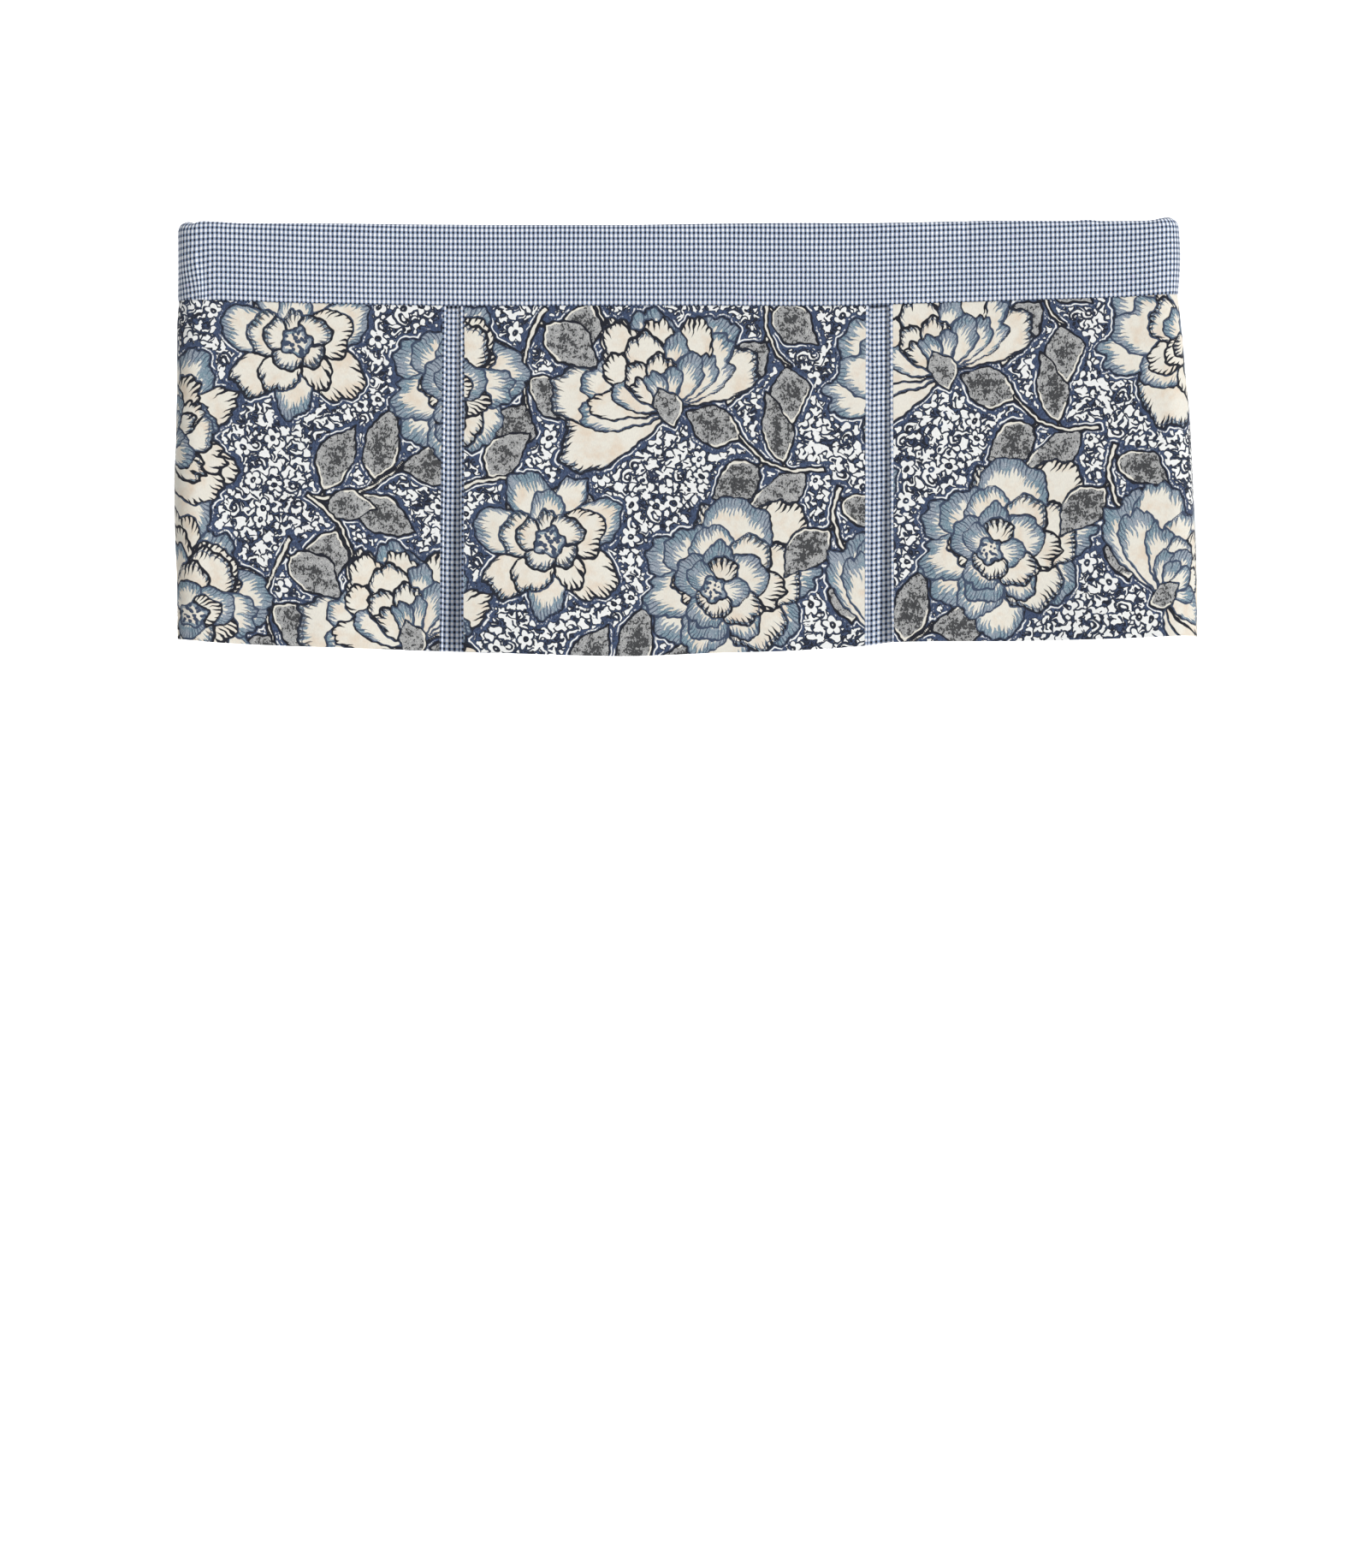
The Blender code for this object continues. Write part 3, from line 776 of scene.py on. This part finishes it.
def lay_carnation(cloth, x, y, radius, turn, dice):
    """Seen from the side: rows of frilled petals that open from one cup."""
    for share, count, sweep, ruffles in ((1.0, 6, 1.45, 6), (0.84, 6, 1.2, 5), (0.69, 5, 1.0, 5),
                                         (0.54, 4, 0.8, 4), (0.38, 3, 0.5, 3)):
        places = np.linspace(-1, 1, count) + dice.uniform(-0.08, 0.08, count)
        for place in sorted(places, key=abs, reverse=True):
            lay_petal(cloth, x, y, turn + place * sweep, radius * share * dice.uniform(0.88, 1.06),
                      dice.uniform(0.36, 0.50), dice, ruffles=ruffles)
    lay_leaf(cloth, *ahead(x, y, turn, radius * -0.12), turn, radius * 0.34, radius * 0.22, 0.05,
             dice)


def lay_anemone(cloth, x, y, radius, turn, dice):
    """Open and flat: broad petals in two rings round a dark seeded eye."""
    lay_ring(cloth, x, y, radius, 7, turn, dice, overlap=1.2, fullness=0.40, ruffles=5)
    lay_ring(cloth, x, y, radius * 0.70, 5, turn + 0.3, dice, overlap=1.15, fullness=0.36,
             ruffles=4)
    lay_ring(cloth, x, y, radius * 0.42, 5, turn, dice, ruffles=3, tone=0.36)
    lay_eye(cloth, x, y, radius * 0.17, dice)


TWIG = 9.0                  # mm from a stem to a leaf on it


def lay_spray(cloth, x, y, turn, length, leaves, size, dice):
    """A bowed stem with pointed leaves on either side."""
    bow = dice.choice((-1, 1)) * dice.uniform(0.2, 0.4) * length
    end = ahead(x, y, turn, length)
    side = ((x + end[0]) / 2 - bow * math.sin(turn), (y + end[1]) / 2 + bow * math.cos(turn))
    path = bent(((x, y), side, end))
    for k in range(leaves):
        spot = path[int((k + 0.7) / leaves * (len(path) - 1))]
        hand = 1 if k % 2 else -1
        last = k == leaves - 1
        aim = turn + (0.1 if last else hand * dice.uniform(0.7, 1.1))
        twig = ahead(*spot, aim, TWIG)
        lay_leaf(cloth, *twig, aim, size * dice.uniform(0.8, 1.1),
                 size * dice.uniform(0.52, 0.64), 0.10 * hand, dice)
        lay_stem(cloth, (spot, twig), 4.0)
    lay_stem(cloth, ((x, y), side, end), 5.0)


FLOWERS = {"rosette": lay_rosette, "carnation": lay_carnation, "anemone": lay_anemone}
REPEAT = (570.0, 500.0)     # mm across and down until the print comes again
MARGIN = 200                # mm round a piece of cloth in which a motif may still reach it
PRINT_SEED = 3
Flower = namedtuple("Flower", "form x y size turn")
Spray = namedtuple("Spray", "x y turn length leaves size")
LAYOUT = (
    Flower("rosette", 112, 108, 112, 0.7),
    Flower("carnation", 388, 150, 138, -1.95),
    Flower("anemone", 250, 300, 90, 0.2),
    Flower("rosette", 462, 344, 110, 2.6),
    Flower("carnation", 70, 420, 128, -0.6),
)
SPRAYS = (
    Spray(246, 30, 1.75, 120, 4, 82),
    Spray(572, 215, 3.5, 110, 4, 76),
    Spray(262, 478, -0.35, 120, 4, 80),
    Spray(262, 478, 0.95, 90, 3, 76),
    Spray(150, 235, 0.2, 100, 3, 78),
    Spray(20, 236, 1.4, 100, 4, 74),
    Spray(505, 10, 1.3, 90, 3, 78),
)
CURL_STEP = 24.0            # mm from one small flower or curl of the ground to the next
FLOWERS_BELOW, CURLS_ABOVE = 0.42, 0.78   # which tosses give a small flower, and which a curl


def lay_ground(cloth):
    """Small outlined flowers and curls scattered over the ground: how far each point lies from
    their strokes, minus outside them."""
    x, y = cloth.x, cloth.y
    for row_off in (-1, 0, 1):
        for col_off in (-1, 0, 1):
            row, col = np.floor(y / CURL_STEP) + row_off, np.floor(x / CURL_STEP) + col_off

            def toss(salt):
                """A number from 0 to 1 for each cell, the same on every run."""
                value = np.sin(col * 127.1 + row * 311.7 + salt * 74.7) * 43758.5453
                return value - np.floor(value)

            dx = x - (col + 0.5 + 0.7 * (toss(1) - 0.5)) * CURL_STEP
            dy = y - (row + 0.5 + 0.7 * (toss(2) - 0.5)) * CURL_STEP
            out = np.hypot(dx, dy)
            turn = np.arctan2(dy, dx) + toss(3) * 2 * math.pi
            size = 10.2 + 2.8 * toss(5)
            petals = size * (0.52 + 0.48 * np.abs(np.cos(2.5 * turn)) ** 0.8)
            curl = size * (0.20 + 0.80 * np.mod(turn, 2 * math.pi) / (2 * math.pi))
            flower, curled = toss(4) < FLOWERS_BELOW, toss(4) > CURLS_ABOVE
            rim = np.where(flower, petals, curl)
            inner = np.where(flower, 2.4, curl * 0.45)
            shape = np.minimum(rim - out, np.abs(out - inner))
            cloth.ground = np.where(flower | curled, np.maximum(cloth.ground, shape), cloth.ground)


def draw(cloth):
    """Lay the whole repeat over a piece of cloth, as often as it goes."""
    lay_ground(cloth)
    low = (cloth.x.min() - MARGIN, cloth.y.min() - MARGIN)
    high = (cloth.x.max() + MARGIN, cloth.y.max() + MARGIN)
    for across in range(-2, 4):
        for down in range(-2, 4):
            dx, dy = across * REPEAT[0], down * REPEAT[1]
            if not (low[0] - REPEAT[0] < dx < high[0] and low[1] - REPEAT[1] < dy < high[1]):
                continue
            dice = np.random.default_rng(PRINT_SEED)
            for s in SPRAYS:
                lay_spray(cloth, s.x + dx, s.y + dy, s.turn, s.length, s.leaves, s.size, dice)
            for f in LAYOUT:
                FLOWERS[f.form](cloth, f.x + dx, f.y + dy, f.size, f.turn, dice)


# the print's colours
CREAM = dye(240, 236, 224)
CREAM_WARM = dye(233, 218, 198)
SLATE = dye(152, 162, 175)
SLATE_PALE = dye(194, 203, 209)
SLATE_GREEN = dye(122, 149, 163)
SLATE_LINE = dye(66, 79, 102)
INK = dye(28, 31, 42)
NAVY = dye(48, 58, 82)
BLUE = dye(78, 96, 130)
PALE_BLUE = dye(120, 138, 164)
WHITE = dye(248, 249, 247)
LEAF = dye(206, 206, 204)
LEAF_MIDDLE = dye(146, 147, 148)
LEAF_DARK = dye(44, 46, 50)
REVERSE = dye(205, 207, 213)
PRINT_YARNS = 0.6           # mm that two yarns take up
PRINT_RELIEF = 0.00010      # how far they stand out, in metres


def fringe(along, rim, pitch, longest, ink_share, seed):
    """Blunt strokes from a petal's rim inwards, each of its own length: 1 on a stroke."""
    stroke = (along / pitch).whole()
    toss = (stroke * 12.9898 + seed).wave() * 43758.5
    toss = toss - toss.whole()
    length = (toss * 0.75 + 0.25) * longest
    off = abs(along / pitch - stroke - 0.5)
    way = (rim / length.most(0.5)).most(0.0)
    room = (1 - way * (way * 0.7 + 0.3)) * (ink_share * (toss * 0.4 + 0.7)) - off
    return room.step(-0.05, 0.07)


def make_flowered_cloth():
    """Printed cotton: inked outlines, washed petals and grey leaves on a busy blue ground."""
    material, shader, thread, across, down = new_cloth("flowered_cotton")
    shapes, lines, places = (thread.node("Attribute", output="Vector", attribute_name=name).parts()
                             for name in ("shape", "lines", "place"))
    petal, leaf, stem = shapes
    ink, halo, ground = lines
    along, rim, tone = places
    to_hem = thread.node("Attribute", output="Vector", attribute_name="hem").parts()[0]
    hand = thread.spots(across, down, (8, 8), seed=21.0)
    grain = thread.spots(across, down, (0.9, 3.4), seed=22.0)
    mottle = thread.spots(across, down, (2.4, 3.2), seed=23.0)
    broad = thread.spots(across, down, (26, 32), seed=24.0)
    speck = thread.spots(across, down, (1.5, 1.8), detail=3.0, seed=25.0)

    # the ground: white gaps between inked cells, curls and small flowers, on blurred blue
    blue = (grain * 0.5 + mottle * 0.7).step(-1.0, 1.1).between(NAVY, BLUE)
    blue = speck.step(0.4, 1.3).between(blue, PALE_BLUE)
    twist = [place + thread.spots(across, down, (7.5, 7.5), detail=0.0, seed=seed) * 2.6
             for place, seed in ((across, 31.0), (down, 32.0))]
    gaps = [thread.spots(across, down, (9, 9), detail=0.0, seed=seed).step(0.2, 0.7) * 4
            for seed in (34.0, 35.0)]
    border = thread.cells(*twist, 12.4) + gaps[0]
    winding = abs(thread.spots(*twist, (11, 11), detail=0.0, seed=33.0)) * 4.6 + gaps[1]
    within = ground.step(-0.3, 0.3)
    around = border.least(winding).least(ground * -1)
    stroke = (around * (1 - within) + ground * within).least(3.4)
    crowd = (halo + hand * 1.6).step(8.5, 4.0)
    width = hand * 0.35 + broad * 0.30 + crowd * 2.4 + 1.24
    inked = (stroke - width).step(-1.25, -0.75) * (broad * 0.8 + hand * 0.8).step(-1.4, 0.0)
    colour = (inked * 0.94).between(blue, INK)
    colour = (stroke - width).step(0.0, 0.45).between(colour, WHITE)
    colour = (halo + hand * 1.2).step(5.0, 4.0).between(colour, blue)
    contour = abs(halo - 3.0 - hand * 0.4).step(1.10, 0.45)
    contour = contour * (mottle * 0.7 + broad * 1.6).step(-0.3, 0.3)
    ground_colour = contour.between(colour, WHITE)

    # petals: cream, washed and hatched with slate blue from the rim inwards
    cream = (broad + hand * 0.5).step(-0.5, 1.3).between(CREAM, CREAM_WARM)
    slate = (hand * 0.7 + broad * 0.9).step(-0.7, 0.7).between(SLATE, SLATE_GREEN)
    slate = (speck * 0.8 + mottle * 0.5).step(-0.1, 1.1).between(slate, SLATE_PALE)
    slate = (grain + speck * 0.6).step(-0.3, -1.3).between(slate, SLATE_LINE)
    reach = (tone - 0.22).most(0.0) * 20 + hand * 2.6 * tone
    wash = (reach - rim + mottle * 0.5).step(-0.4, 0.6)
    along = along + hand * 0.7
    teeth = fringe(along, rim - reach, 4.7, tone * 8 + 7, 0.40, 0.0)
    cloth_petal = wash.most(teeth * tone.step(0.12, 0.22)).between(cream, slate)
    veins = fringe(along, rim, 3.7, tone * 20 + 7, 0.22, 2.7) * tone.step(0.12, 0.25)
    cloth_petal = (veins * 0.85).between(cloth_petal, SLATE_LINE)
    inked = fringe(along, rim, 5.2, (1 - tone) * 18 + 3, 0.33, 4.1)
    cloth_petal = (inked * tone.step(0.42, 0.34)).between(cloth_petal, INK)
    double = abs(rim - 4.8 - hand * 0.9).step(0.95, 0.4) * abs(tone - 0.30).step(0.12, 0.08)
    cloth_petal = (double * 0.85).between(cloth_petal, SLATE_LINE)
    colour = petal.step(0.4, 0.6).between(ground_colour, cloth_petal)

    # leaves: speckled greys, with a pale rim on one side
    blotch = speck * 0.5 + mottle * 1.4 + hand + broad * 0.4 + rim * 0.05 + tone * 0.4
    charcoal = blotch.step(0.70, 0.95)
    cloth_leaf = (speck * 0.7 + mottle * 0.9).step(-0.8, 0.8).between(LEAF_MIDDLE, LEAF)
    cloth_leaf = (charcoal * 0.92).between(cloth_leaf, LEAF_DARK)
    pale = (along - 14.5).step(0.0, 1.0) * (rim + hand * 0.5).step(3.6, 2.8)
    cloth_leaf = pale.between(cloth_leaf, CREAM)
    colour = leaf.step(0.4, 0.6).between(colour, cloth_leaf)
    colour = stem.step(0.4, 0.6).between(colour, CREAM)

    # outlines: ink of uneven width, slate blue in places on the washed petals
    heavy = petal * tone.step(0.42, 0.34)
    half = hand * 0.42 + heavy * 0.34 + 1.14
    line = (ink / half.most(0.75)).step(1.35, 0.85) * halo.step(2.2, 1.6)
    faded = petal * (1 - heavy) * (broad + hand * 0.8 + 0.9).step(-0.4, 0.4)
    line_colour = faded.between(INK, SLATE_LINE)
    colour = line.between(colour, line_colour)

    # the wrong side: the shapes show through faintly, but the turned hem shows the print
    shapes_behind = leaf.step(0.1, 0.9).between(CREAM, LEAF_MIDDLE)
    behind = (halo + hand * 0.6).step(0.8, -0.8).between(ground_colour, shapes_behind)
    behind = abs(halo).step(1.9, 0.9).most(ink.step(2.8, 1.0) * 0.6).between(behind, INK)
    turned_up = to_hem.step(HEM_TURN * 1000 + 0.5, HEM_TURN * 1000 - 0.5)
    behind = ((1 - turned_up) * 0.66).between(behind, REVERSE)
    reverse = thread.node("Attribute", output="Fac", attribute_name="reverse")
    colour = reverse.step(0.5, 0.9).between(colour, behind)
    shade = (grain * 0.6 + mottle * 0.4).step(-1.6, 1.6)
    shade = shade.between(dye(236, 236, 237), dye(255, 255, 255))
    relief = weave(across, down, PRINT_YARNS) * 0.5 + grain * 0.25
    finish_cloth(shader, thread, colour, shade, relief, 0.84 + mottle * 0.02, PRINT_RELIEF)
    return material


def make_panel(panel, material):
    middle, cloth, flat = panel_grid(panel)
    rows, cols = cloth.shape[:2]
    printed = Print(cloth[..., 0].ravel() * 1000 + panel.cut_across,
                    cloth[..., 1].ravel() * 1000 + panel.cut_down)
    draw(printed)

    def field(*names):
        return np.stack([getattr(printed, name).reshape(rows, cols) for name in names], 2)

    to_hem = cloth[-1:, :, 1] - cloth[..., 1]
    piece = closed_sheet(
        panel.name, middle, cloth,
        thickness=COTTON + HEM_EXTRA * (1 - ease(to_hem, HEM_TURN - 0.001, HEM_TURN + 0.001)),
        coarse=PANEL_COARSE,
        prints={"shape": field("petal", "leaf", "stem"), "lines": field("ink", "halo", "ground"),
                "place": field("along", "rim", "tone"),
                "hem": np.repeat(to_hem[..., None] * 1000, 3, axis=2)})
    piece.data.materials.append(material)
    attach(piece, "root")
    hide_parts(panel.node)


flowered_cloth = make_flowered_cloth()
for each_panel in PANELS:
    make_panel(each_panel, flowered_cloth)


# ---- The pleat inserts.
INSERT_CELL = 0.0026        # mesh along an insert's folded path
INSERT_ROWS = 140
PLEAT_STRIP = 0.0040        # strip that shows beside each panel, before the fold
PLEAT_PITCH_TOP = 0.0026    # layer to layer where the seam holds the pleat
PLEAT_GROWTH = 1.5          # how late down the drop a pleat opens
FOLD_REACH = 0.0030         # most that a pleat's fold stands out sideways
SEAM_TURN = 0.006           # edge of the strip that runs on behind the panel it is sewn to
TURN_BEHIND = 0.0014        # how far behind the panel's middle that edge lies
INTO_HEADER = 0.004         # how far its front layer runs up inside the header
STRIP_HEIGHT = 0.404        # flat height of an insert
STRIP_START = 0.002         # where on the check its top is cut
MIDDLE_REPEAT = 40.5        # repeats of the check to the insert's middle, so that it is centred


def insert_plan(pleat, drop):
    """Plan points of an insert, each as x and how far it lies behind the front cloth."""
    start, end = pleat_sides(pleat, drop)
    pitch = mix(PLEAT_PITCH_TOP, pleat.hem_pitch, drop ** PLEAT_GROWTH)
    bend, middle = pitch / 2, (start + end) / 2
    reach = min(bend, FOLD_REACH)
    fold_x, tuck_x = start + PLEAT_STRIP - reach, start - PLEAT_TUCK
    turned = TURN_BEHIND + HEM_EXTRA * float(ease(drop, 0.90, 0.94))
    angles = np.linspace(0, math.pi, 9)[1:]
    half = [(start - SEAM_TURN, turned), (start - 0.0010, turned), (start + 0.0003, 0.0003),
            (start + 0.0012, 0.0)]
    half += [(fold_x + reach * math.sin(a), bend * (1 - math.cos(a))) for a in angles]
    half += [(mix(fold_x, tuck_x, share), pitch) for share in (0.5, 1.0)]
    half += [(tuck_x - reach * math.sin(a), pitch + bend * (1 - math.cos(a))) for a in angles]
    half += [(mix(tuck_x, middle, share), 2 * pitch) for share in (0.5, 1.0)]
    other = [(2 * middle - x, behind) for x, behind in reversed(half[:-1])]
    return np.array(half + other), pitch


def make_insert(pleat, material):
    width = evenly(insert_plan(pleat, 0.0)[0], 2)[1][-1]
    cols = 2 * round(width / INSERT_CELL / 2) + 1
    middle = np.empty((INSERT_ROWS + 1, cols, 3))
    for i, drop in enumerate(np.linspace(0, 1, INSERT_ROWS + 1)):
        plan, pitch = insert_plan(pleat, drop)
        plan, _ = evenly(plan, cols)
        x, behind = plan[:, 0], plan[:, 1]
        layer = behind / pitch
        into_header = (INTO_HEADER - 0.0038 * ease(layer, 0.55, 0.95)
                       + 0.0022 * ease(layer, 1.1, 1.9))
        sway = 0.0004 * ripples(np.full(cols, drop * 0.4), (0.11, 0.17), 31) * ease(layer, 0.2, 1.5)
        middle[i] = np.column_stack((x, front_depth(x, drop) + behind + sway,
                                     height(x, drop) + into_header * (1 - drop)))
    run = np.linspace(-width / 2, width / 2, cols) + MIDDLE_REPEAT * CHECK_ACROSS / 1000
    down = np.linspace(0, 1, INSERT_ROWS + 1) * STRIP_HEIGHT + STRIP_START
    cloth = np.stack(np.broadcast_arrays(run[None, :], down[:, None]), 2)
    piece = closed_sheet(pleat.name.replace("insert", "cloth"), middle, cloth, coarse=2)
    piece.data.materials.append(material)
    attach(piece, "root")
    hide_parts(pleat.name)


for each_pleat in PLEATS:
    make_insert(each_pleat, check_cloth)


# ---- The studio: a pale floor well below, a pale wall well behind, soft light from the upper
# right and a camera straight in front, where the photograph was taken from.
CAMERA_X, CAMERA_Z = 0.0076, -0.6545   # the middle of the photograph
CAMERA_AWAY = 6.0           # camera to the face of the header
FRAME_HEIGHT = 1.8274       # what the photograph shows from its top to its bottom, at the face
SENSOR = 36.0               # mm
SIDE, FRONT, BACK, FLOOR, CEILING = 12, -9, 7, -4.5, 8   # where the studio ends
WALL_GLOW = 0.6


def stage_plane(name, corners, glow):
    mesh = bpy.data.meshes.new(name)
    mesh.from_pydata(corners, [], [(0, 1, 2, 3)])
    material = bpy.data.materials.new(name)
    material.use_nodes = True
    surface = material.node_tree.nodes["Principled BSDF"]
    surface.inputs["Base Color"].default_value = dye(248, 248, 248)
    surface.inputs["Roughness"].default_value = 0.9
    surface.inputs["Emission Color"].default_value = (1, 1, 1, 1)
    surface.inputs["Emission Strength"].default_value = glow
    mesh.materials.append(material)
    add_object(name, mesh)


stage_plane("floor", [(-SIDE, FRONT, FLOOR), (SIDE, FRONT, FLOOR),
                      (SIDE, BACK, FLOOR), (-SIDE, BACK, FLOOR)], 0.0)
stage_plane("wall", [(-SIDE, BACK, FLOOR), (SIDE, BACK, FLOOR),
                     (SIDE, BACK, CEILING), (-SIDE, BACK, CEILING)], WALL_GLOW)


def sunlight(name, azimuth, elevation, strength, softness):
    """Light from far away: azimuth from straight in front to the right, all in degrees."""
    lamp = bpy.data.lights.new(name, "SUN")
    lamp.energy = strength
    lamp.angle = math.radians(softness)
    light = add_object(name, lamp)
    light.rotation_euler = (math.radians(90 - elevation), 0, math.radians(azimuth))


sunlight("key_light", 43, 27, 2.55, 14)
sunlight("fill_light", -42, 8, 0.38, 60)
sunlight("back_light", 150, 25, 1.2, 60)

world = bpy.data.worlds.new("studio")
world.use_nodes = True
world.node_tree.nodes["Background"].inputs["Color"].default_value = (1, 1, 1, 1)
world.node_tree.nodes["Background"].inputs["Strength"].default_value = 0.29
bpy.context.scene.world = world
bpy.context.scene.view_settings.view_transform = "Standard"

lens = bpy.data.cameras.new("camera")
lens.sensor_width = SENSOR
lens.lens = SENSOR * CAMERA_AWAY / FRAME_HEIGHT
camera = add_object("camera", lens)
camera.location = (CAMERA_X, -POCKET_HALF - CAMERA_AWAY, CAMERA_Z)
camera.rotation_euler = (math.pi / 2, 0, 0)
bpy.context.scene.camera = camera
